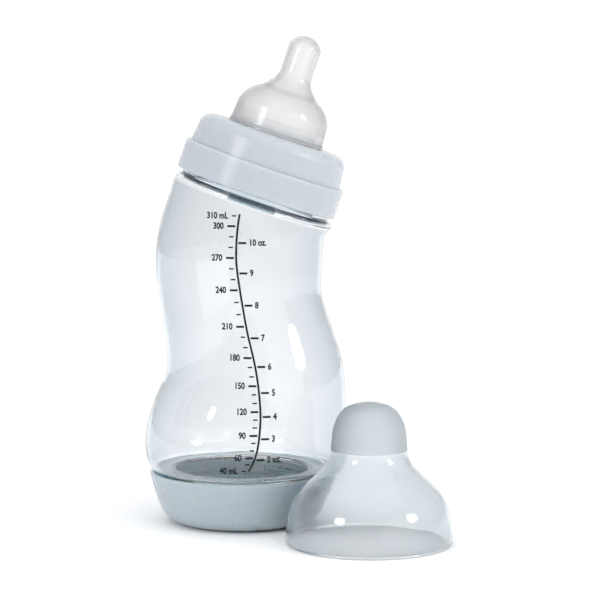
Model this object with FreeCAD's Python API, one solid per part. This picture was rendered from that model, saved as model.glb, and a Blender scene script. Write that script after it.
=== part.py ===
import FreeCAD, Part
import math
import os

# Feeding bottle with an S-shaped body, in millimetres.
# The origin is the centre of the base cup's foot. +Z is up, and the neck leans towards +X.
# The bottle is built from its base up. Everything above the shoulder is drawn along a neck axis
# that starts at the screw ring's lower edge, and is then leaned over.

Vector = FreeCAD.Vector

# general fits
wall = 1.3                  # moulded wall of the bottle
seat_gap = 0.05             # between faces that are clamped together
thread_gap = 0.25           # radial clearance of both threads
pitch = 5.0                 # rise of both threads in one turn
thread_height = 1.1         # radial depth of the thread ridge
thread_root = 2.2           # width of the ridge where it meets the wall
thread_crest = 1.0          # width of the ridge at its top
thread_bite = 0.3           # how deep the ridge is rooted in its wall
thread_margin = 0.3         # plain wall beyond the end of a ridge
chamfer = 0.4               # small edge breaks

# base cup
cup_rim_radius = 33.6
cup_height = 18.5
cup_foot_radius = 21.35
cup_round = 9.0             # bottom rounding
cup_round_turn = 68.0       # degrees that the rounding turns before the side wall
cup_wall = 1.6
cup_floor = 2.0
cup_side_bow = 5.6          # degrees that the side wall turns over half its height
cup_collar_wall = 1.7       # threaded collar inside the cup
cup_collar_gap = 0.6        # between the collar's top and the body's underside
cup_channel_floor = 10.0    # bottom of the channel between collar and side wall
cup_channel_wall = 2.3      # side wall at the bottom of the channel
cup_thread_turns = 1.0
press_width = 1.9           # raised ring that presses the valve
press_inset = 0.6           # that ring is this much smaller than the valve
foot_pad_radius = 8.0       # flat pad in the middle of the foot
foot_recess_radius = 16.5
foot_recess_depth = 0.7
vent_radius = 1.1
vent_count = 6

# bottle, lower end
body_turn = 3.0             # rounding under the body
body_turn_start = 33.0      # degrees from upright where the rounding starts
rim_gap = 0.5               # between the body and the cup's rim
shelf_height = 18.2         # underside of the body
bore_radius = 24.0          # open lower end
bore_lip = 1.0
lower_neck_wall = 1.9
lower_neck_end = 5.0        # height of the lower end's rim
lower_thread_turns = 1.2

# bottle, S-shaped part: centre x, height z, lean in degrees, and how much wider its radius is
# than the cup's rim in the lower part, and than the shoulder in the upper part
lower_belly = ((0.0, 24.0, 5, 1.8), (1.0, 30.5, 11, 2.2), (3.5, 41.5, 11, 0.9), (4.5, 56.5, -5, -1.1))
upper_belly = ((1.5, 72.0, -12, -0.3), (-0.5, 85.5, -5, -0.3), (-0.3, 100.5, 7, 0.2))

# neck axis
neck_x = 5.4
neck_z = 120.25
neck_lean = 19.0
neck_radius = 24.8          # outside of the neck, between the thread's turns
neck_wall = 2.2
neck_top = 17.85
neck_thread_turns = 1.25
shoulder_overhang = 0.2     # the shoulder is this much wider than the screw ring
shoulder_gap = 1.5          # below the screw ring
shoulder_corner = 2.0
collar_gap = 0.6            # between the collar on the shoulder and the ring's skirt around it
collar_top = 0.8            # the collar closes the gap under the ring

# registration lug under the ring
lug_length = 17.0
lug_width = 2.2
lug_height = 0.6
lug_drop = 2.7

# screw ring
ring_height = 21.9
ring_wall = 2.2
ring_plate = 2.0
ring_band_height = 10.7
ring_band_step = 1.55       # ledge that the cap stands on
ring_drum_taper = 0.8
ring_corner = 4.5
ring_edge = 0.6
ring_skirt = 3.5            # height of the wider mouth of the ring
ring_skirt_wall = 1.6
ring_skirt_slope = 1.0
ring_thread_turns = 1.2
hole_radius = 17.75

# teat
teat_gap = 0.3              # around the teat in the ring's hole
teat_foot_wall = 2.2        # thick foot, up to the step inside
teat_step = 26.0
teat_step_slope = 3.0       # the step fades out over this height
teat_wall = 1.3
lip_step = 0.4              # bead that snaps over the ring's hole
lip_height = 1.5
skirt_taper = 0.6
skirt_top = 30.4
nipple_radius = 5.95
nipple_height = 59.0
nipple_round = 5.2          # height of the rounded tip
feeding_hole_radius = 0.35
flange_margin = 0.8         # flange is this much smaller than the neck
# dome between skirt and nipple: shares of the way out from the nipple, and rises above the skirt
teat_dome = ((1.0, 0.0), (0.89, 2.7), (0.62, 6.0), (0.385, 7.6), (0.19, 9.8), (0.055, 12.0),
             (-0.01, 16.0), (0.0, 20.5))

# vent valve
valve_margin = 0.9          # disc is this much larger than the bore
valve_thickness = 1.3
valve_dish_radius = 19.0
valve_dish_slope = 1.5
valve_dish_depth = 0.4
valve_dish_wall = 0.8
slit_length = 5.0
slit_width = 0.3
slit_count = 4
slit_circle = 10.0

# domed cap
cap_x = 45.5
cap_gap = 0.5               # between the cap and the base cup, side by side on the table
cap_nest = 2.9              # their rims overlap this much, seen from above, because the cup tapers
cap_rim_wall = 0.8
cap_wall = 1.3
cap_fit = 0.1               # between the cap's rim and the ring's drum
cap_knob_radius = 13.4
cap_bell_height = 32.7      # the bell ends and the knob begins
cap_headroom = 0.1          # above the teat's tip
cap_top_wall = 0.8
gate_mark_radius = 1.4
gate_mark_depth = 0.3
# bell: shares of the way out from the knob to the rim, and shares of the bell's height
cap_bell = ((1.0, 0.02), (0.965, 0.23), (0.89, 0.39), (0.775, 0.5), (0.47, 0.66), (0.235, 0.77),
            (0.06, 0.88), (0.0, 1.0))
# crown of the knob: shares of the knob's radius, and drops below its top
cap_crown = ((0.965, 11.0), (0.9, 7.2), (0.765, 3.8), (0.6, 1.7), (0.3, 0.3))

# sizes that follow from the ones above
ring_bore = neck_radius + thread_height + thread_gap
ring_drum_radius = ring_bore + ring_wall
ring_band_radius = ring_drum_radius + ring_band_step
ring_skirt_radius = ring_band_radius - ring_skirt_wall
ring_plate_height = ring_height - ring_plate
shoulder_radius = ring_band_radius + shoulder_overhang
shoulder_start = -shoulder_gap - shoulder_corner
collar_radius = ring_skirt_radius - collar_gap
# the ring's ridge hangs half a pitch below the neck's ridge
ring_thread_start = ring_skirt + ring_skirt_slope + thread_root / 2 + thread_margin
neck_thread_start = ring_thread_start + pitch / 2
lower_neck_radius = bore_radius + lower_neck_wall
cup_bore = lower_neck_radius + thread_height + thread_gap
cup_collar_top = shelf_height - cup_collar_gap
# the cup's ridge rests half a pitch above the bottle's ridge
cup_thread_start = cup_collar_top - thread_margin - thread_root / 2 - cup_thread_turns * pitch
lower_thread_start = cup_thread_start - pitch / 2
valve_bottom = lower_neck_end - seat_gap - valve_thickness
valve_radius = bore_radius + valve_margin
cap_rim_radius = ring_drum_radius + cap_fit + cap_rim_wall
cap_height = nipple_height - ring_band_height + cap_headroom + cap_top_wall
cap_y = -math.sqrt((cap_rim_radius + cup_rim_radius - cap_nest + cap_gap) ** 2 - cap_x ** 2)
neck_place = FreeCAD.Placement(Vector(neck_x, 0, neck_z), FreeCAD.Rotation(Vector(0, 1, 0), neck_lean))


def point(radius, height):
    return Vector(radius, 0, height)


def line(start, end):
    return Part.LineSegment(point(*start), point(*end)).toShape()


def arc(start, middle, end):
    return Part.Arc(point(*start), point(*middle), point(*end)).toShape()


def spline(points, *tangents):
    """Smooth curve through the points, with the tangents at its two ends if they are given."""
    curve = Part.BSplineCurve()
    places = [point(*p) for p in points]
    if tangents:
        first, last = (point(*t) for t in tangents)
        curve.interpolate(Points=places, InitialTangent=first, FinalTangent=last)
    else:
        curve.interpolate(places)
    return curve.toShape()


def on_circle(centre, radius, degrees):
    """Point of a profile circle. Zero degrees points outwards, ninety points up."""
    turn = math.radians(degrees)
    return (centre[0] + radius * math.cos(turn), centre[1] + radius * math.sin(turn))


def round_arc(centre, radius, start, end):
    middle = (start + end) / 2
    return arc(*(on_circle(centre, radius, a) for a in (start, middle, end)))


def revolve(edges):
    """Turn a closed profile, drawn in the XZ plane, into a solid of revolution about Z."""
    wire = Part.Wire(Part.__sortEdges__(edges))
    solid = Part.Face(wire).revolve(Vector(0, 0, 0), Vector(0, 0, 1), 360)
    return Part.Solid(solid.Shells[0]) if solid.ShapeType != "Solid" else solid


def closed(corners, *curves):
    """Profile from runs of straight corners joined by curves, each curve between two runs."""
    edges = []
    for run in corners:
        edges += [line(a, b) for a, b in zip(run, run[1:])]
    return revolve(edges + list(curves))


def ridge(radius, first, turns, outward):
    """Helical thread ridge on a wall of the given radius, rising from the height first."""
    side = 1 if outward else -1
    root = radius - side * thread_bite
    crest = radius + side * thread_height
    helix = Part.makeHelix(pitch, turns * pitch, radius)
    helix.translate(Vector(0, 0, first))
    corners = ((root, -thread_root / 2), (crest, -thread_crest / 2), (crest, thread_crest / 2),
               (root, thread_root / 2))
    points = [point(r, first + h) for r, h in corners]
    profile = Part.makePolygon(points + points[:1])
    return Part.Wire(helix.Edges).makePipeShell([profile], True, True)


def section(x, z, lean, radius):
    axis = FreeCAD.Rotation(Vector(0, 1, 0), lean).multVec(Vector(0, 0, 1))
    return Part.Wire(Part.makeCircle(radius, Vector(x, 0, z), axis))


def to_neck(shape):
    shape.Placement = neck_place.multiply(shape.Placement)
    return shape


def bottle_form(inset):
    """Outer form of the bottle with no inset, or its inside with the wall as inset."""
    # turn under the body, whose corner passes inside the cup's rim
    turn_height = shelf_height + body_turn
    reach = math.sqrt(body_turn ** 2 - (turn_height - cup_height) ** 2)
    centre = (cup_rim_radius - cup_wall - rim_gap - reach, turn_height)
    radius = body_turn - inset
    start = on_circle(centre, radius, -body_turn_start)
    shelf = turn_height - radius
    if inset:
        lip = (bore_radius + bore_lip, shelf - bore_lip)
        lower = closed(
            [[(bore_radius, shelf - bore_lip), (bore_radius, 0), (0, 0), (0, start[1]), start],
             [(centre[0], shelf), (bore_radius + bore_lip, shelf)]],
            round_arc(centre, radius, -90, -body_turn_start),
            round_arc(lip, bore_lip, 90, 180))
    else:
        lower = closed(
            [[(centre[0], shelf), (lower_neck_radius, shelf), (lower_neck_radius, lower_neck_end),
              (0, lower_neck_end), (0, start[1]), start]],
            round_arc(centre, radius, -90, -body_turn_start))

    # S-shaped part, from the turn to the shoulder
    lean = math.radians(neck_lean)
    end_x = neck_x + shoulder_start * math.sin(lean)
    end_z = neck_z + shoulder_start * math.cos(lean)
    rings = [section(0, start[1], 0, start[0])]
    for stations, size in ((lower_belly, cup_rim_radius), (upper_belly, shoulder_radius)):
        rings += [section(x, z, tilt, size + wider - inset) for x, z, tilt, wider in stations]
    rings.append(section(end_x, end_z, neck_lean, shoulder_radius - inset))
    middle = Part.makeLoft(rings, True, False)

    # shoulder and neck
    corner = (shoulder_radius - shoulder_corner, shoulder_start)
    round_radius = shoulder_corner - inset
    top = shoulder_start + round_radius
    run = [(0, shoulder_start), on_circle(corner, round_radius, 0)]
    if inset:
        inner = neck_radius - neck_wall
        lip = (inner + bore_lip, top + bore_lip)
        upper = closed(
            [run, [(corner[0], top), (inner + bore_lip, top)],
             [(inner, top + bore_lip), (inner, neck_top + 1), (0, neck_top + 1), run[0]]],
            round_arc(corner, round_radius, 0, 90), round_arc(lip, bore_lip, 180, 270))
    else:
        upper = closed(
            [run, [(corner[0], top), (collar_radius, top), (collar_radius, collar_top),
                   (neck_radius, collar_top), (neck_radius, neck_top), (0, neck_top), run[0]]],
            round_arc(corner, round_radius, 0, 90))
    return lower.fuse([middle, to_neck(upper)]).removeSplitter()


def registration_lug():
    """Flat oval lug on the shoulder, on the side that carries the printed scale."""
    half = (lug_length - lug_width) / 2
    end_radius = lug_width / 2
    top, bottom = end_radius - lug_drop, -end_radius - lug_drop
    corners = [Vector(-half, 0, top), Vector(half, 0, top), Vector(half, 0, bottom), Vector(-half, 0, bottom)]
    left = Vector(-half - end_radius, 0, -lug_drop)
    right = Vector(half + end_radius, 0, -lug_drop)
    outline = Part.Wire([
        Part.LineSegment(corners[0], corners[1]).toShape(),
        Part.Arc(corners[1], right, corners[2]).toShape(),
        Part.LineSegment(corners[2], corners[3]).toShape(),
        Part.Arc(corners[3], left, corners[0]).toShape()])
    prism = Part.Face(outline).extrude(Vector(0, -2 * shoulder_radius, 0))
    base = Vector(0, 0, bottom - lug_width)
    skin = Part.makeCylinder(shoulder_radius + lug_height, 3 * lug_width, base)
    core = Part.makeCylinder(shoulder_radius - wall, 3 * lug_width, base)
    return prism.common(skin.cut(core))


def bottle_body():
    shell = bottle_form(0).cut(bottle_form(wall))
    upper_thread = ridge(neck_radius, neck_thread_start, neck_thread_turns, True)
    lower_thread = ridge(lower_neck_radius, lower_thread_start, lower_thread_turns, True)
    return shell.fuse([to_neck(upper_thread), lower_thread, to_neck(registration_lug())])


def screw_ring():
    drum_top = ring_drum_radius - ring_drum_taper
    corner = (drum_top - ring_corner, ring_height - ring_corner)
    inner_round = ring_corner - ring_plate
    inner_corner = (ring_bore - inner_round, ring_plate_height - inner_round)
    foot = (ring_band_radius - ring_edge, ring_edge)
    ledge = (ring_band_radius - ring_edge, ring_band_height - ring_edge)
    hole_edge = (hole_radius + ring_edge, ring_height - ring_edge)
    body = closed(
        [[(ring_skirt_radius, 0), (foot[0], 0)],
         [(ring_band_radius, foot[1]), (ring_band_radius, ledge[1])],
         [(ledge[0], ring_band_height), (ring_drum_radius, ring_band_height), (drum_top, corner[1])],
         [(corner[0], ring_height), (hole_edge[0], ring_height)],
         [(hole_radius, hole_edge[1]), (hole_radius, ring_plate_height),
          (inner_corner[0], ring_plate_height)],
         [(ring_bore, inner_corner[1]), (ring_bore, ring_skirt + ring_skirt_slope),
          (ring_skirt_radius, ring_skirt), (ring_skirt_radius, 0)]],
        round_arc(foot, ring_edge, -90, 0),
        round_arc(ledge, ring_edge, 0, 90),
        round_arc(corner, ring_corner, 0, 90),
        round_arc(hole_edge, ring_edge, 90, 180),
        round_arc(inner_corner, inner_round, 0, 90))
    return to_neck(body.fuse(ridge(ring_bore, ring_thread_start, ring_thread_turns, False)))


def teat_outline(skirt, nipple, top, tip_round):
    """Curves of the teat's outline from its skirt to the middle of its tip."""
    dome = [(nipple + (skirt - nipple) * out, skirt_top + rise) for out, rise in teat_dome]
    shoulder = (nipple, top - tip_round)
    slant = math.sqrt(0.5)
    tip = [shoulder, (nipple * slant, top - tip_round * (1 - slant)), (0, top)]
    return [spline(dome), line(dome[-1], shoulder), spline(tip, (0, 1), (-1, 0))], dome[0]


def teat():
    hole = hole_radius - teat_gap
    seat = neck_top + seat_gap
    flange = neck_radius - flange_margin
    flange_top = ring_plate_height - seat_gap
    lip = hole + lip_step
    skirt = hole - skirt_taper
    foot_inside = hole - teat_foot_wall
    outer, outer_start = teat_outline(skirt, nipple_radius, nipple_height, nipple_round)
    inner, inner_start = teat_outline(skirt - teat_wall, nipple_radius - teat_wall,
                                      nipple_height - teat_wall, nipple_round - teat_wall)
    body = closed(
        [[(foot_inside, seat), (flange, seat), (flange, flange_top), (hole, flange_top),
          (hole, ring_height + teat_gap / 2), (lip, ring_height + teat_gap),
          (lip, ring_height + lip_height / 2), (hole, ring_height + lip_height), outer_start],
         [(0, nipple_height), (0, nipple_height - teat_wall)],
         [inner_start, (skirt - teat_wall, teat_step + teat_step_slope), (foot_inside, teat_step),
          (foot_inside, seat)]],
        *outer, *inner)
    below_tip = Vector(0, 0, nipple_height - 2 * teat_wall)
    feeding_hole = Part.makeCylinder(feeding_hole_radius, 3 * teat_wall, below_tip)
    return to_neck(body.cut(feeding_hole))


def cup_side(start, end):
    """Bowed side wall of the cup, and the middle of its curve."""
    chord = (end[0] - start[0], end[1] - start[1])
    bow = math.tan(math.radians(cup_side_bow / 2)) / 2
    middle = (start[0] + chord[0] / 2 + chord[1] * bow, start[1] + chord[1] / 2 - chord[0] * bow)
    return arc(start, middle, end), middle


def base_cup():
    centre = (cup_foot_radius, cup_round)
    side_start = on_circle(centre, cup_round, cup_round_turn - 90)
    rim = (cup_rim_radius, cup_height - chamfer)
    rim_inside = cup_rim_radius - cup_wall
    side, side_middle = cup_side(side_start, rim)
    # the threaded collar runs down into the rounded inside of the floor
    inner_round = cup_round - cup_floor
    collar = cup_bore + cup_collar_wall
    foot_reach = cup_bore - chamfer - cup_foot_radius
    bore_foot = cup_round - math.sqrt(inner_round ** 2 - foot_reach ** 2)
    foot_angle = math.degrees(math.atan2(bore_foot - cup_round, foot_reach))
    body = closed(
        [[(0, 0), (foot_pad_radius, 0), (foot_pad_radius + chamfer, foot_recess_depth),
          (foot_recess_radius - chamfer, foot_recess_depth), (foot_recess_radius, 0), (cup_foot_radius, 0)],
         [rim, (cup_rim_radius - chamfer, cup_height), (rim_inside + chamfer, cup_height),
          (rim_inside, cup_height - chamfer), (side_middle[0] - cup_channel_wall, cup_channel_floor),
          (collar, cup_channel_floor), (collar, cup_collar_top), (cup_bore, cup_collar_top),
          (cup_bore, bore_foot + chamfer), (cup_bore - chamfer, bore_foot)],
         [(cup_foot_radius, cup_floor), (0, cup_floor), (0, 0)]],
        side,
        round_arc(centre, cup_round, -90, cup_round_turn - 90),
        round_arc(centre, inner_round, -90, foot_angle))
    press_radius = valve_radius - press_inset
    press_foot = cup_floor / 2
    press = Part.makeCylinder(press_radius, valve_bottom - seat_gap - press_foot, Vector(0, 0, press_foot))
    press = press.cut(Part.makeCylinder(press_radius - press_width, cup_height))
    thread = ridge(cup_bore, cup_thread_start, cup_thread_turns, False)
    vents = []
    for number in range(vent_count):
        turn = math.radians(360 * number / vent_count)
        place = (foot_pad_radius + foot_recess_radius) / 2
        vent = Part.makeCylinder(vent_radius, 3 * cup_floor, Vector(0, 0, -cup_floor))
        vent.translate(Vector(place * math.cos(turn), place * math.sin(turn), 0))
        vents.append(vent)
    return body.fuse([press, thread]).cut(vents)


def valve_membrane():
    """Silicone disc under the bottle's lower rim, dished in the middle, with slits that let air in."""
    top = valve_bottom + valve_thickness
    dish = valve_bottom - valve_dish_depth
    dish_top = dish + valve_dish_wall
    body = closed([[
        (0, dish), (valve_dish_radius, dish), (valve_dish_radius + valve_dish_slope, valve_bottom),
        (valve_radius, valve_bottom), (valve_radius, top), (valve_dish_radius + valve_dish_slope, top),
        (valve_dish_radius, dish_top), (0, dish_top), (0, dish)]])
    slits = []
    for number in range(slit_count):
        corner = Vector(slit_circle - slit_length / 2, -slit_width / 2, 0)
        slit = Part.makeBox(slit_length, slit_width, lower_neck_end, corner)
        slit.rotate(Vector(0, 0, 0), Vector(0, 0, 1), 360 * number / slit_count)
        slits.append(slit)
    return body.cut(slits)


def cap_outline(rim, knob, top, edge):
    """Curves of the cap's outline from its rim to the radius edge at the top of its crown."""
    bell = [(knob + (rim - knob) * out, cap_bell_height * rise) for out, rise in cap_bell]
    crown = [(knob * out, top - drop) for out, drop in cap_crown] + [(edge, top)]
    lean = (crown[0][0] - knob, crown[0][1] - cap_bell_height)
    return [spline(bell), line(bell[-1], crown[0]), spline(crown, lean, (-1, 0))], bell[0]


def dome_cap():
    inner_rim = cap_rim_radius - cap_rim_wall
    inner_top = cap_height - cap_top_wall
    outer, outer_start = cap_outline(cap_rim_radius, cap_knob_radius, cap_height, gate_mark_radius)
    inner, inner_start = cap_outline(inner_rim, cap_knob_radius - cap_wall, inner_top, 0)
    dimple = cap_height - gate_mark_depth
    body = closed(
        [[inner_start, (inner_rim, 0), (cap_rim_radius - gate_mark_depth, 0), outer_start],
         [(gate_mark_radius, cap_height), (gate_mark_radius - gate_mark_depth, dimple),
          (0, dimple), (0, inner_top)]],
        *outer, *inner)
    body.translate(Vector(cap_x, cap_y, 0))
    return body


pieces = {
    "bottle_body": bottle_body,
    "screw_ring": screw_ring,
    "teat": teat,
    "valve_membrane": valve_membrane,
    "base_cup": base_cup,
    "dome_cap": dome_cap,
}

os.makedirs("parts", exist_ok=True)
for name, make in pieces.items():
    solid = make().Solids[0]
    print(name, "valid", solid.isValid(), "volume", round(solid.Volume, 1))
    solid.exportStep("parts/" + name + ".step")
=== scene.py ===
import bpy
import math
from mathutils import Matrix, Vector


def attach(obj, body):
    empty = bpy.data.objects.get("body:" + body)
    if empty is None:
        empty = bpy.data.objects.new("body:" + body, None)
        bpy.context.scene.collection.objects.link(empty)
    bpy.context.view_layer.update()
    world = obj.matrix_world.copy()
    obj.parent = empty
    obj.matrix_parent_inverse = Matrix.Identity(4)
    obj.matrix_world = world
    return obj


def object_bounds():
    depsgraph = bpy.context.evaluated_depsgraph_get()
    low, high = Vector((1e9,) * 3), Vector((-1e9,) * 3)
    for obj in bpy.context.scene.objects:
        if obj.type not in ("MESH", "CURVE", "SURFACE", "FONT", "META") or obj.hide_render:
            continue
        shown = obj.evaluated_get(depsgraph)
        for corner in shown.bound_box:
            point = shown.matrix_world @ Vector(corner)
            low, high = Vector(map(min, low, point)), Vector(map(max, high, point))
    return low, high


# Feeding bottle with its ring, teat, valve, base cup and domed cap, in metres.
# The moulded pieces are the CAD nodes. The printed scale is made here and rides on the bottle.

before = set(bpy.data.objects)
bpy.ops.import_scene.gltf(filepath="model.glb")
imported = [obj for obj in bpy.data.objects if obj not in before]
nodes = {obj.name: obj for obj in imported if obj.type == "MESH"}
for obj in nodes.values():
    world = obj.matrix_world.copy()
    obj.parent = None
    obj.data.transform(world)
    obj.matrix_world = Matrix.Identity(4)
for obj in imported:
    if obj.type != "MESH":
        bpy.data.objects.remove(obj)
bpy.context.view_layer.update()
mm = 0.001


# small helpers for node trees

def newMaterial(name):
    material = bpy.data.materials.new(name)
    material.use_nodes = True
    material.node_tree.nodes.clear()
    return material, material.node_tree


def put(tree, kind, place, **values):
    # Adds a node at a place in the tree, with these settings
    node = tree.nodes.new(kind)
    node.location = place
    for name, value in values.items():
        setattr(node, name, value)
    return node


def fill(node, **values):
    # Sets the node's inputs, each named with _ for its spaces
    for name, value in values.items():
        node.inputs[name.replace("_", " ")].default_value = value
    return node


def join(tree, start, output, end, entry):
    tree.links.new(start.outputs[output], end.inputs[entry])


def wear(obj, material):
    # Gives the object this material in every slot
    for index in range(len(obj.data.materials)):
        obj.data.materials[index] = material
    if not obj.data.materials:
        obj.data.materials.append(material)


# shared groups

def mouldedSkinGroup():
    # Waviness, fine grain and faint smudges of a moulded surface, by Object coordinates
    group = bpy.data.node_groups.new("mouldedSkin", "ShaderNodeTree")
    for name, low in (("Wave Size", 40.0), ("Grain Size", 900.0), ("Wave", 0.6), ("Grain", 0.4),
                      ("Smudge Size", 55.0)):
        socket = group.interface.new_socket(name, in_out="INPUT", socket_type="NodeSocketFloat")
        socket.default_value = low
    for name in ("Height", "Smudge", "Tone"):
        group.interface.new_socket(name, in_out="OUTPUT", socket_type="NodeSocketFloat")
    start = put(group, "NodeGroupInput", (-900, 0))
    end = put(group, "NodeGroupOutput", (500, 0))
    place = put(group, "ShaderNodeTexCoord", (-900, 300))
    wave = fill(put(group, "ShaderNodeTexNoise", (-600, 300)), Detail=1.0, Roughness=0.4)
    grain = fill(put(group, "ShaderNodeTexNoise", (-600, 50)), Detail=2.0, Roughness=0.5)
    smudge = fill(put(group, "ShaderNodeTexNoise", (-600, -250)), Detail=4.0, Roughness=0.6,
                  Distortion=0.6)
    for texture, size in ((wave, "Wave Size"), (grain, "Grain Size"), (smudge, "Smudge Size")):
        join(group, place, "Object", texture, "Vector")
        join(group, start, size, texture, "Scale")
    scaled = []
    for texture, amount, y in ((wave, "Wave", 300), (grain, "Grain", 50)):
        times = put(group, "ShaderNodeMath", (-300, y), operation="MULTIPLY")
        join(group, texture, "Fac", times, 0)
        join(group, start, amount, times, 1)
        scaled.append(times)
    total = put(group, "ShaderNodeMath", (-100, 200), operation="ADD")
    join(group, scaled[0], 0, total, 0)
    join(group, scaled[1], 0, total, 1)
    mask = put(group, "ShaderNodeMapRange", (-300, -250), interpolation_type="SMOOTHSTEP")
    fill(mask, From_Min=0.45, From_Max=0.7)
    join(group, smudge, "Fac", mask, "Value")
    join(group, total, 0, end, "Height")
    join(group, mask, "Result", end, "Smudge")
    join(group, wave, "Fac", end, "Tone")
    return group


mouldedSkin = mouldedSkinGroup()


def skin(tree, place, **sizes):
    node = put(tree, "ShaderNodeGroup", place, node_tree=mouldedSkin)
    return fill(node, **sizes)


def bumped(tree, skinNode, shader, place, strength, distance):
    bump = put(tree, "ShaderNodeBump", place)
    fill(bump, Strength=strength, Distance=distance)
    join(tree, skinNode, "Height", bump, "Height")
    join(tree, bump, "Normal", shader, "Normal")
    return bump


def mapped(tree, source, output, place, low, high):
    # Spreads a mask from 0..1 to low..high
    node = fill(put(tree, "ShaderNodeMapRange", place), To_Min=low, To_Max=high)
    join(tree, source, output, node, "Value")
    return node


def mixColour(tree, place, first, second):
    node = put(tree, "ShaderNodeMix", place, data_type="RGBA")
    for socket, colour in ((node.inputs[6], first), (node.inputs[7], second)):
        socket.default_value = (*colour, 1)
    return node


# bottle body: clear plastic, with painted blue-grey shade where the eye looks along the wall

bodyLook = {
    "low": (0.882, 0.892, 0.902),      # belly
    # high: darker and bluer towards the shoulder, as painted shade below the blue ring
    "high": (0.846, 0.858, 0.872),     # towards the shoulder
    "fade": (45 * mm, 115 * mm),
    # edge: painted shade, the blue-grey the wall turns towards its outline
    "edge": (0.48, 0.56, 0.61),
    "edgeBlend": 0.35,
    # neck: bluish tint, partly painted shade beneath the ring
    "neck": (0.84, 0.89, 0.92),        # threads and thick wall under the ring
    "neckWindow": (-2.0 * mm, 16.0 * mm),
    "foot": (0.960, 0.980, 0.990),     # threaded lower end, inside the base cup
    "footWindow": (0, 20.5 * mm),
    "shoulder": (0.985, 0.990, 0.995),  # the thin rounding below the ring
    "shoulderWindow": (-4.6 * mm, -1.4 * mm),
    # painted shade: dark blue-grey in the gap under the ring
    "collar": (0.62, 0.71, 0.77),      # what shows in the gap under the ring
    "collarWindow": (-1.35 * mm, 1.0 * mm),
    # painted reflection of the blue ring, laid on the moulded lug
    "lug": (0.42, 0.52, 0.58),
    "lugWindow": (-3.95 * mm, -1.5 * mm),
    "lugHalf": 8.6 * mm,
    "lugDepth": (-15 * mm, -20 * mm),   # the lug is only on the front
    "ior": 1.49,
    "roughness": (0.015, 0.05),
}
neckFoot = (5.4 * mm, 0, 120.25 * mm)  # where the neck's axis starts
neckLean = math.radians(19)


def window(tree, source, output, place, low, high, soft):
    # 1 between low and high, 0 outside, with soft flanks
    rise = put(tree, "ShaderNodeMapRange", place, interpolation_type="SMOOTHSTEP")
    fill(rise, From_Min=low - soft, From_Max=low + soft)
    fall = put(tree, "ShaderNodeMapRange", (place[0], place[1] - 260), interpolation_type="SMOOTHSTEP")
    fill(fall, From_Min=high - soft, From_Max=high + soft, To_Min=1.0, To_Max=0.0)
    both = put(tree, "ShaderNodeMath", (place[0] + 200, place[1]), operation="MULTIPLY")
    for part, entry in ((rise, 0), (fall, 1)):
        join(tree, source, output, part, "Value")
        join(tree, part, "Result", both, entry)
    return both


def times(tree, first, second, place):
    node = put(tree, "ShaderNodeMath", place, operation="MULTIPLY")
    join(tree, first, 0, node, 0)
    join(tree, second, 0, node, 1)
    return node


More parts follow.
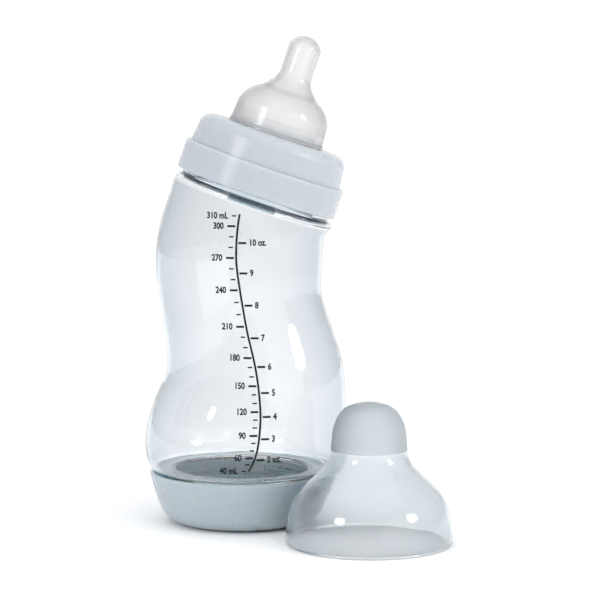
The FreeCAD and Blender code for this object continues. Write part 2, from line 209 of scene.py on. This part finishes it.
def clearPlastic(look):
    material, tree = newMaterial("clear_plastic_bottle")
    out = put(tree, "ShaderNodeOutputMaterial", (900, 0))
    shader = put(tree, "ShaderNodeBsdfPrincipled", (600, 0))
    fill(shader, IOR=look["ior"], Transmission_Weight=1.0)
    surface = skin(tree, (-700, -400), Wave_Size=28.0, Grain_Size=700.0, Wave=1.0, Grain=0.03)
    place = put(tree, "ShaderNodeTexCoord", (-1700, 300))
    upright = put(tree, "ShaderNodeSeparateXYZ", (-1500, 500))
    join(tree, place, "Object", upright, "Vector")
    fade = fill(put(tree, "ShaderNodeMapRange", (-1200, 500), interpolation_type="SMOOTHSTEP"),
                From_Min=look["fade"][0], From_Max=look["fade"][1])
    join(tree, upright, "Z", fade, "Value")
    # painted shade: the tint deepens and turns bluer from the belly up to the shoulder
    face = mixColour(tree, (-900, 500), look["low"], look["high"])
    join(tree, fade, "Result", face, 0)
    # along the leaning neck
    leaning = put(tree, "ShaderNodeMapping", (-1500, 0), vector_type="TEXTURE")
    fill(leaning, Location=neckFoot, Rotation=(0, neckLean, 0))
    join(tree, place, "Object", leaning, "Vector")
    neck = put(tree, "ShaderNodeSeparateXYZ", (-1300, 0))
    join(tree, leaning, "Vector", neck, "Vector")
    neckMask = window(tree, neck, "Z", (-1100, 150), *look["neckWindow"], 0.3 * mm)
    collarMask = window(tree, neck, "Z", (-1100, -100), *look["collarWindow"], 0.1 * mm)
    lugTall = window(tree, neck, "Z", (-1100, -350), *look["lugWindow"], 0.15 * mm)
    lugWide = window(tree, neck, "X", (-1100, -850), -look["lugHalf"], look["lugHalf"], 0.4 * mm)
    front = fill(put(tree, "ShaderNodeMapRange", (-1100, -1350)),
                 From_Min=look["lugDepth"][0], From_Max=look["lugDepth"][1])
    join(tree, neck, "Y", front, "Value")
    lugMask = times(tree, times(tree, lugTall, lugWide, (-700, -850)), front, (-500, -850))
    # painted shade: the wall turns blue-grey towards its outline, by Layer Weight
    layer = fill(put(tree, "ShaderNodeLayerWeight", (-900, 250)), Blend=look["edgeBlend"])
    colour = mixColour(tree, (-600, 300), (1, 1, 1), look["edge"])
    join(tree, face, 2, colour, 6)
    join(tree, layer, "Facing", colour, 0)
    footMask = window(tree, upright, "Z", (-1100, 900), *look["footWindow"], 0.4 * mm)
    footed = mixColour(tree, (-450, 300), (1, 1, 1), look["foot"])
    join(tree, colour, 2, footed, 6)
    join(tree, footMask, 0, footed, 0)
    # bluish tint on the neck, partly painted shade under the ring
    necked = mixColour(tree, (-300, 300), (1, 1, 1), look["neck"])
    join(tree, footed, 2, necked, 6)
    join(tree, neckMask, 0, necked, 0)
    shoulderMask = window(tree, neck, "Z", (-1100, 1400), *look["shoulderWindow"], 0.3 * mm)
    rounded = mixColour(tree, (-220, 300), (1, 1, 1), look["shoulder"])
    join(tree, necked, 2, rounded, 6)
    join(tree, shoulderMask, 0, rounded, 0)
    # painted shade in the gap under the ring
    collared = mixColour(tree, (-150, 300), (1, 1, 1), look["collar"])
    join(tree, rounded, 2, collared, 6)
    join(tree, collarMask, 0, collared, 0)
    # painted reflection of the blue ring on the lug
    lugged = mixColour(tree, (0, 300), (1, 1, 1), look["lug"])
    join(tree, collared, 2, lugged, 6)
    join(tree, lugMask, 0, lugged, 0)
    join(tree, lugged, 2, shader, "Base Color")
    rough = mapped(tree, surface, "Smudge", (-300, -100), *look["roughness"])
    join(tree, rough, "Result", shader, "Roughness")
    bumped(tree, surface, shader, (-100, -400), 0.25, 0.0006)
    join(tree, shader, "BSDF", out, "Surface")
    return material


wear(nodes["bottle_body"], clearPlastic(bodyLook))
print("bottle body")


# ring and base cup: milky pale blue plastic

bluePlasticLook = {
    "ring": {"dark": (0.455, 0.486, 0.516), "light": (0.477, 0.506, 0.535)},
    # the cup is the ring's plastic, painted darker as shade, since it stands low and gets less light
    "cup": {"dark": (0.400, 0.455, 0.490), "light": (0.422, 0.480, 0.515),
            "inside": (0.78, 0.91, 0.97)},
    # the cup's inside lies nearer the middle than a cone that widens with its side wall
    "insideCone": 27.5 * mm,
    "insideSlope": -0.313,
    "insideFloor": 5.6 * mm,
    "roughness": (0.26, 0.36),
}


def hollowSide(tree, colour, inside):
    # paler inside, because light comes through the wall
    place = put(tree, "ShaderNodeTexCoord", (-1300, 500))
    upright = put(tree, "ShaderNodeSeparateXYZ", (-1100, 500))
    join(tree, place, "Object", upright, "Vector")
    flat = put(tree, "ShaderNodeCombineXYZ", (-900, 650))
    join(tree, upright, "X", flat, "X")
    join(tree, upright, "Y", flat, "Y")
    away = put(tree, "ShaderNodeVectorMath", (-700, 650), operation="LENGTH")
    join(tree, flat, "Vector", away, "Vector")
    cone = put(tree, "ShaderNodeMath", (-600, 850), operation="MULTIPLY_ADD")
    cone.inputs[1].default_value = bluePlasticLook["insideSlope"]
    join(tree, upright, "Z", cone, 0)
    join(tree, away, "Value", cone, 2)
    near = window(tree, cone, 0, (-500, 650), -100 * mm, bluePlasticLook["insideCone"], 0.2 * mm)
    above = window(tree, upright, "Z", (-500, 1100), bluePlasticLook["insideFloor"], 100 * mm, 0.2 * mm)
    hollow = mixColour(tree, (0, 300), (1, 1, 1), inside)
    join(tree, times(tree, near, above, (-200, 700)), 0, hollow, 0)
    join(tree, colour, 2, hollow, 6)
    return hollow


def bluePlastic(name, look, roughness):
    material, tree = newMaterial("blue_plastic_" + name)
    out = put(tree, "ShaderNodeOutputMaterial", (600, 0))
    shader = put(tree, "ShaderNodeBsdfPrincipled", (250, 0))
    fill(shader, IOR=1.49, Subsurface_Weight=0.7, Subsurface_Scale=0.004)
    shader.inputs["Subsurface Radius"].default_value = (0.6, 0.9, 1.1)
    surface = skin(tree, (-700, -200), Wave_Size=60.0, Grain_Size=2200.0, Wave=0.5, Grain=0.35,
                   Smudge_Size=70.0)
    colour = mixColour(tree, (-200, 200), look["dark"], look["light"])
    join(tree, surface, "Tone", colour, 0)
    face = colour
    if "inside" in look:
        face = hollowSide(tree, colour, look["inside"])
    tree.links.new(face.outputs[2], shader.inputs["Base Color"])
    rough = mapped(tree, surface, "Smudge", (-300, -100), *roughness)
    join(tree, rough, "Result", shader, "Roughness")
    bumped(tree, surface, shader, (-100, -300), 0.15, 0.0003)
    join(tree, shader, "BSDF", out, "Surface")
    return material


wear(nodes["screw_ring"], bluePlastic("ring", bluePlasticLook["ring"], bluePlasticLook["roughness"]))
wear(nodes["base_cup"], bluePlastic("cup", bluePlasticLook["cup"], bluePlasticLook["roughness"]))
print("ring and base cup")


# teat and vent valve: clear silicone, a little hazy, with painted shade towards their outlines

siliconeLook = {
    "teat": {"face": (0.985, 0.985, 0.985), "edge": (0.58, 0.58, 0.58), "through": 0.75,
             "roughness": (0.12, 0.18)},
    "valve": {"face": (0.72, 0.88, 0.95), "edge": (0.60, 0.74, 0.81), "through": 0.25,
              "roughness": (0.25, 0.35)},
    "ior": 1.41,
}


def silicone(name, look, ior):
    material, tree = newMaterial("silicone_" + name)
    out = put(tree, "ShaderNodeOutputMaterial", (600, 0))
    shader = put(tree, "ShaderNodeBsdfPrincipled", (250, 0))
    fill(shader, IOR=ior, Transmission_Weight=look["through"])
    surface = skin(tree, (-700, -200), Wave_Size=90.0, Grain_Size=1500.0, Wave=0.6, Grain=0.25,
                   Smudge_Size=120.0)
    # painted shade: darker towards the outline, by Layer Weight
    layer = fill(put(tree, "ShaderNodeLayerWeight", (-500, 250)), Blend=0.4)
    colour = mixColour(tree, (-200, 200), look["face"], look["edge"])
    join(tree, layer, "Facing", colour, 0)
    tree.links.new(colour.outputs[2], shader.inputs["Base Color"])
    rough = mapped(tree, surface, "Smudge", (-300, -100), *look["roughness"])
    join(tree, rough, "Result", shader, "Roughness")
    bumped(tree, surface, shader, (-100, -300), 0.15, 0.0003)
    join(tree, shader, "BSDF", out, "Surface")
    return material


wear(nodes["teat"], silicone("teat", siliconeLook["teat"], siliconeLook["ior"]))
wear(nodes["valve_membrane"], silicone("valve", siliconeLook["valve"], siliconeLook["ior"]))
print("teat and valve")


# domed cap: milky translucent plastic, frosted on the knob, with painted shade towards its outline

capLook = {
    "face": (0.885, 0.910, 0.925),
    "edge": (0.68, 0.76, 0.80),
    "frostStart": 32.5 * mm,       # height where the bell ends and the frosted knob begins
    "frostEnd": 32.9 * mm,
    "bellRoughness": (0.06, 0.10),
    "knobRoughness": 0.55,
}


def capPlastic(look):
    material, tree = newMaterial("cap_plastic_dome")
    out = put(tree, "ShaderNodeOutputMaterial", (700, 0))
    shader = put(tree, "ShaderNodeBsdfPrincipled", (350, 0))
    fill(shader, IOR=1.49, Transmission_Weight=0.93)
    surface = skin(tree, (-900, -200), Wave_Size=45.0, Grain_Size=1800.0, Wave=0.6, Grain=0.15,
                   Smudge_Size=80.0)
    # painted shade: darker towards the outline, by Layer Weight
    layer = fill(put(tree, "ShaderNodeLayerWeight", (-500, 250)), Blend=0.35)
    colour = mixColour(tree, (-200, 200), look["face"], look["edge"])
    join(tree, layer, "Facing", colour, 0)
    tree.links.new(colour.outputs[2], shader.inputs["Base Color"])
    place = put(tree, "ShaderNodeTexCoord", (-1100, -500))
    split = put(tree, "ShaderNodeSeparateXYZ", (-900, -500))
    join(tree, place, "Object", split, "Vector")
    frost = put(tree, "ShaderNodeMapRange", (-700, -500), interpolation_type="SMOOTHSTEP")
    fill(frost, From_Min=look["frostStart"], From_Max=look["frostEnd"])
    join(tree, split, "Z", frost, "Value")
    bell = mapped(tree, surface, "Smudge", (-500, -100), *look["bellRoughness"])
    rough = put(tree, "ShaderNodeMix", (-200, -100), data_type="FLOAT")
    join(tree, frost, "Result", rough, 0)
    join(tree, bell, "Result", rough, 2)
    rough.inputs[3].default_value = look["knobRoughness"]
    join(tree, rough, 0, shader, "Roughness")
    bumped(tree, surface, shader, (0, -300), 0.15, 0.0003)
    join(tree, shader, "BSDF", out, "Surface")
    return material


wear(nodes["dome_cap"], capPlastic(capLook))
print("cap")


# printed scale: a curved line with millilitres on its left and ounces on its right

scalePrint = {
    # line: x and height, from its top down
    "line": ((0.3, 114.1), (-0.5, 109.9), (-1.1, 100.9), (-0.9, 95.9), (0.3, 87.3), (1.9, 77.6),
             (3.0, 71.6), (5.1, 63.4), (5.7, 60.4), (6.8, 54.3), (7.5, 46.2), (7.6, 42.2), (7.3, 38.1),
             (6.8, 33.0), (6.0, 30.0), (5.1, 27.1), (3.3, 23.9)),
    "lineWidth": 0.74,
    # heights of the marks, in millimetres, by the volume in millilitres
    "heights": {310: 113.5, 300: 109.9, 270: 98.8, 240: 87.4, 210: 74.5, 180: 63.6, 150: 53.9,
                120: 44.9, 90: 36.6, 60: 28.8, 50: 26.5, 40: 24.1},
    "longTick": (2.8, 0.74),
    "shortTick": (1.6, 0.5),
    "tickGap": 0.35,
    "shortTickGap": 0.7,
    "digitHeight": 2.25,
    "capitalShare": 0.73,        # height of a capital as a share of the font's size
    "labelGap": 1.3,
    "ounceGap": 0.9,
    "boldness": 0.12,
    "narrowing": 0.80,
    "ounce": 28.41,
    "thickness": 0.04,
    "standOff": 0.04,
    "mergeWithin": 0.005,
    "ink": ((0.006, 0.009, 0.016), (0.012, 0.016, 0.026)),
}


def inkMaterial(look):
    material, tree = newMaterial("scale_ink")
    out = put(tree, "ShaderNodeOutputMaterial", (600, 0))
    shader = put(tree, "ShaderNodeBsdfPrincipled", (250, 0))
    shader.inputs["Specular IOR Level"].default_value = 0.2
    surface = skin(tree, (-700, -200), Wave_Size=300.0, Grain_Size=4000.0, Wave=0.5, Grain=0.5,
                   Smudge_Size=500.0)
    colour = mixColour(tree, (-200, 200), *look["ink"])
    join(tree, surface, "Smudge", colour, 0)
    tree.links.new(colour.outputs[2], shader.inputs["Base Color"])
    rough = mapped(tree, surface, "Smudge", (-300, -100), 0.35, 0.5)
    join(tree, rough, "Result", shader, "Roughness")
    bumped(tree, surface, shader, (-100, -300), 0.2, 0.0001)
    join(tree, shader, "BSDF", out, "Surface")
    return material


def between(points, height):
    # x of the line at a height
    for (x1, z1), (x2, z2) in zip(points, points[1:]):
        if z2 <= height <= z1:
            return x2 + (x1 - x2) * (height - z2) / (z1 - z2)
    return points[0][0] if height > points[0][1] else points[-1][0]


def heightOf(volume):
    # Height of a volume, between the marks on either side of it
    marks = sorted(scalePrint["heights"].items())
    for (low, lowHeight), (high, highHeight) in zip(marks, marks[1:]):
        if low <= volume <= high:
            return lowHeight + (highHeight - lowHeight) * (volume - low) / (high - low)
    raise ValueError(volume)


printPlane = -0.055           # the print is drawn flat in front of the bottle, then laid on it


def bare():
    # Nothing selected, in object mode
    if bpy.context.object and bpy.context.object.mode != "OBJECT":
        bpy.ops.object.mode_set(mode="OBJECT")
    bpy.ops.object.select_all(action="DESELECT")


def bar(name, left, right, height, thickness):
    # Tick from left to right at a height
    bare()
    bpy.ops.mesh.primitive_grid_add(
        x_subdivisions=6, y_subdivisions=1, size=1,
        location=((left + right) / 2 * mm, printPlane, height * mm), rotation=(math.pi / 2, 0, 0))
    tick = bpy.context.object
    tick.name = name
    tick.scale = ((right - left) * mm, thickness * mm, 1)
    bpy.ops.object.transform_apply(location=True, rotation=True, scale=True)
    return tick


def label(name, text, x, height, align):
    bare()
    bpy.ops.object.text_add(location=(x * mm, printPlane, height * mm), rotation=(math.pi / 2, 0, 0))
    words = bpy.context.object
    words.name = name
    words.data.body = text
    words.data.size = scalePrint["digitHeight"] * mm / scalePrint["capitalShare"]
    words.data.align_x = align
    words.data.align_y = "CENTER"
    words.data.resolution_u = 4
    words.data.offset = scalePrint["boldness"] * mm
    words.scale = (scalePrint["narrowing"], 1, 1)
    bpy.ops.object.convert(target="MESH")
    bpy.ops.object.transform_apply(location=True, rotation=True, scale=True)
    # small triangles, so that the letters follow the bottle
    bpy.ops.object.mode_set(mode="EDIT")
    bpy.ops.mesh.select_all(action="SELECT")
    bpy.ops.mesh.quads_convert_to_tris()
    bpy.ops.mesh.subdivide(number_cuts=2)
    bpy.ops.object.mode_set(mode="OBJECT")
    return bpy.context.object


def curvedLine(name):
    # The long line: a smooth curve made mesh, then widened into a strip
    points = scalePrint["line"]
    half = scalePrint["lineWidth"] / 2 * mm
    smooth = bpy.data.curves.new(name, "CURVE")
    smooth.dimensions = "3D"
    route = smooth.splines.new("NURBS")
    route.points.add(len(points) - 1)
    for knot, (x, z) in zip(route.points, points):
        knot.co = (x * mm, printPlane, z * mm, 1)
    route.order_u = 4
    route.use_endpoint_u = True
    route.resolution_u = 5
    guide = bpy.data.objects.new(name, smooth)
    bpy.context.scene.collection.objects.link(guide)
    bare()
    guide.select_set(True)
    bpy.context.view_layer.objects.active = guide
    bpy.ops.object.convert(target="MESH")
    line = bpy.context.object
    bpy.ops.object.mode_set(mode="EDIT")
    bpy.ops.mesh.select_all(action="SELECT")
    bpy.ops.mesh.extrude_edges_move(TRANSFORM_OT_translate={"value": (2 * half, 0, 0)})
    bpy.ops.mesh.select_all(action="SELECT")
    bpy.ops.transform.translate(value=(-half, 0, 0))
    bpy.ops.object.mode_set(mode="OBJECT")
    return line


def together(name, parts):
    bare()
    for part in parts:
        part.select_set(True)
    bpy.context.view_layer.objects.active = parts[0]
    if len(parts) > 1:
        bpy.ops.object.join()
    joined = bpy.context.object
    joined.name = name
    joined.data.name = name
    return joined


def layOnBottle(piece):
    # Lays flat print on the bottle's front and gives it the thickness of ink
    bare()
    piece.select_set(True)
    bpy.context.view_layer.objects.active = piece
    lay = piece.modifiers.new("lay", "SHRINKWRAP")
    lay.target = nodes["bottle_body"]
    lay.wrap_method = "PROJECT"
    lay.use_project_y = True
    lay.use_positive_direction = True
    lay.use_negative_direction = False
    bpy.ops.object.modifier_apply(modifier="lay")
    bpy.ops.object.mode_set(mode="EDIT")
    bpy.ops.mesh.select_all(action="SELECT")
    bpy.ops.mesh.remove_doubles(threshold=scalePrint["mergeWithin"] * mm)
    bpy.ops.transform.translate(value=(0, -scalePrint["standOff"] * mm, 0))
    bpy.ops.object.mode_set(mode="OBJECT")
    faces = piece.data
    if sum(face.normal.y * face.area for face in faces.polygons) > 0:
        faces.flip_normals()
    thick = piece.modifiers.new("thick", "SOLIDIFY")
    thick.thickness = scalePrint["thickness"] * mm
    thick.offset = 1
    bpy.ops.object.modifier_apply(modifier="thick")
    return piece


def printScale():
    look = scalePrint
    points = look["line"]
    longTick, longThick = look["longTick"]
    shortTick, shortThick = look["shortTick"]
    ticks, labels = [], []
    for volume in range(40, 311, 10):
        height = heightOf(volume)
        x = between(points, height) - look["lineWidth"] / 2
        major = volume % 30 == 0
        gap = look["tickGap"] if major else look["shortTickGap"]
        long = longTick if major else shortTick
        thick = longThick if major else shortThick
        ticks.append(bar(f"tick_{volume}", x - gap - long, x - gap, height, thick))
        if major or volume in (40, 310):
            text = f"{volume} mL" if volume in (40, 310) else str(volume)
            edge = x - gap - long - look["labelGap"]
            labels.append(label(f"label_{volume}", text, edge, height, "RIGHT"))
    for ounces in range(2, 11):
        height = heightOf(ounces * look["ounce"])
        x = between(points, height) + look["lineWidth"] / 2 + look["tickGap"]
        ticks.append(bar(f"tick_{ounces}_oz", x, x + longTick, height, longThick))
        text = f"{ounces} oz." if ounces in (2, 10) else str(ounces)
        labels.append(label(f"label_{ounces}_oz", text, x + longTick + look["ounceGap"], height, "LEFT"))
    pieces = [curvedLine("scale_line"), together("scale_ticks", ticks), together("scale_numbers", labels)]
    ink = inkMaterial(look)
    for piece in pieces:
        layOnBottle(piece)
        wear(piece, ink)
        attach(piece, "bottle")


printScale()
print("printed scale")


# floor, backdrop, lights, camera

studio = {
    "floorSize": 4.0,
    "cardSize": 1.2,
    "cardDistance": 1.3,
    "cardGlow": 1.09,
    "world": (0.70, 0.71, 0.73),
    "top": {"type": "SUN", "size": 70.0, "power": 1.15, "turn": 0.0, "rise": 80.0, "distance": 1.0},
    "front": {"type": "SUN", "size": 50.0, "power": 0.85, "turn": 42.0, "rise": 4.0, "distance": 1.0},
    "left": {"type": "AREA", "size": 0.34, "power": 3.2, "turn": -44.0, "rise": 20.0, "distance": 1.25},
    "right": {"type": "AREA", "size": 0.34, "power": 3.2, "turn": 66.0, "rise": 20.0, "distance": 1.25},
}


def paintFloor():
    material, tree = newMaterial("studio_floor")
    out = put(tree, "ShaderNodeOutputMaterial", (400, 0))
    shader = fill(put(tree, "ShaderNodeBsdfPrincipled", (100, 0)), Roughness=0.9)
    shader.inputs["Specular IOR Level"].default_value = 0.0
    shader.inputs["Base Color"].default_value = (0.96, 0.96, 0.96, 1)
    join(tree, shader, "BSDF", out, "Surface")
    return material


def paintCard():
    material, tree = newMaterial("studio_card")
    out = put(tree, "ShaderNodeOutputMaterial", (400, 0))
    glow = fill(put(tree, "ShaderNodeEmission", (100, 0)), Strength=studio["cardGlow"])
    join(tree, glow, "Emission", out, "Surface")
    return material


def softbox(name, look, target):
    data = bpy.data.lights.new(name, look["type"])
    data.energy = look["power"]
    if look["type"] == "SUN":
        data.angle = math.radians(look["size"])
    else:
        data.shape = "DISK"
        data.size = look["size"]
    lamp = bpy.data.objects.new(name, data)
    bpy.context.scene.collection.objects.link(lamp)
    turn, rise = math.radians(look["turn"]), math.radians(look["rise"])
    away = Vector((math.sin(turn) * math.cos(rise), -math.cos(turn) * math.cos(rise), math.sin(rise)))
    lamp.location = target + away * look["distance"]
    lamp.rotation_mode = "QUATERNION"
    lamp.rotation_quaternion = (target - lamp.location).to_track_quat("-Z", "Y")
    lamp.visible_glossy = look["type"] != "SUN"
    return lamp


def buildStudio():
    low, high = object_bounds()
    middle = (low + high) / 2
    bare()
    bpy.ops.mesh.primitive_plane_add(size=studio["floorSize"], location=(0, 0, -0.0003))
    floor = bpy.context.object
    floor.name = "floor"
    wear(floor, paintFloor())
    bpy.ops.mesh.primitive_plane_add(size=studio["cardSize"],
                                     location=(0, studio["cardDistance"], studio["cardSize"] / 2 - 0.1),
                                     rotation=(math.pi / 2, 0, 0))
    card = bpy.context.object
    card.name = "backdrop"
    wear(card, paintCard())
    for name in ("top", "front", "left", "right"):
        softbox(name + "_light", studio[name], middle)
    world = bpy.data.worlds.new("studio")
    world.use_nodes = True
    world.node_tree.nodes["Background"].inputs["Color"].default_value = (*studio["world"], 1)
    world.node_tree.nodes["Background"].inputs["Strength"].default_value = 1.0
    scene = bpy.context.scene
    scene.world = world
    scene.view_settings.view_transform = "Standard"
    scene.cycles.max_bounces = 24
    scene.cycles.transmission_bounces = 24
    scene.cycles.glossy_bounces = 12


def buildCamera():
    camera = bpy.data.cameras.new("camera")
    camera.sensor_width = 36
    camera.lens = 134
    camera.clip_start = 0.01
    holder = bpy.data.objects.new("camera", camera)
    bpy.context.scene.collection.objects.link(holder)
    holder.location = (0.02138, -0.8087, 0.1642)
    holder.rotation_euler = (math.radians(90 - 5.88), 0, 0)
    bpy.context.scene.camera = holder


buildStudio()
buildCamera()
print("studio")
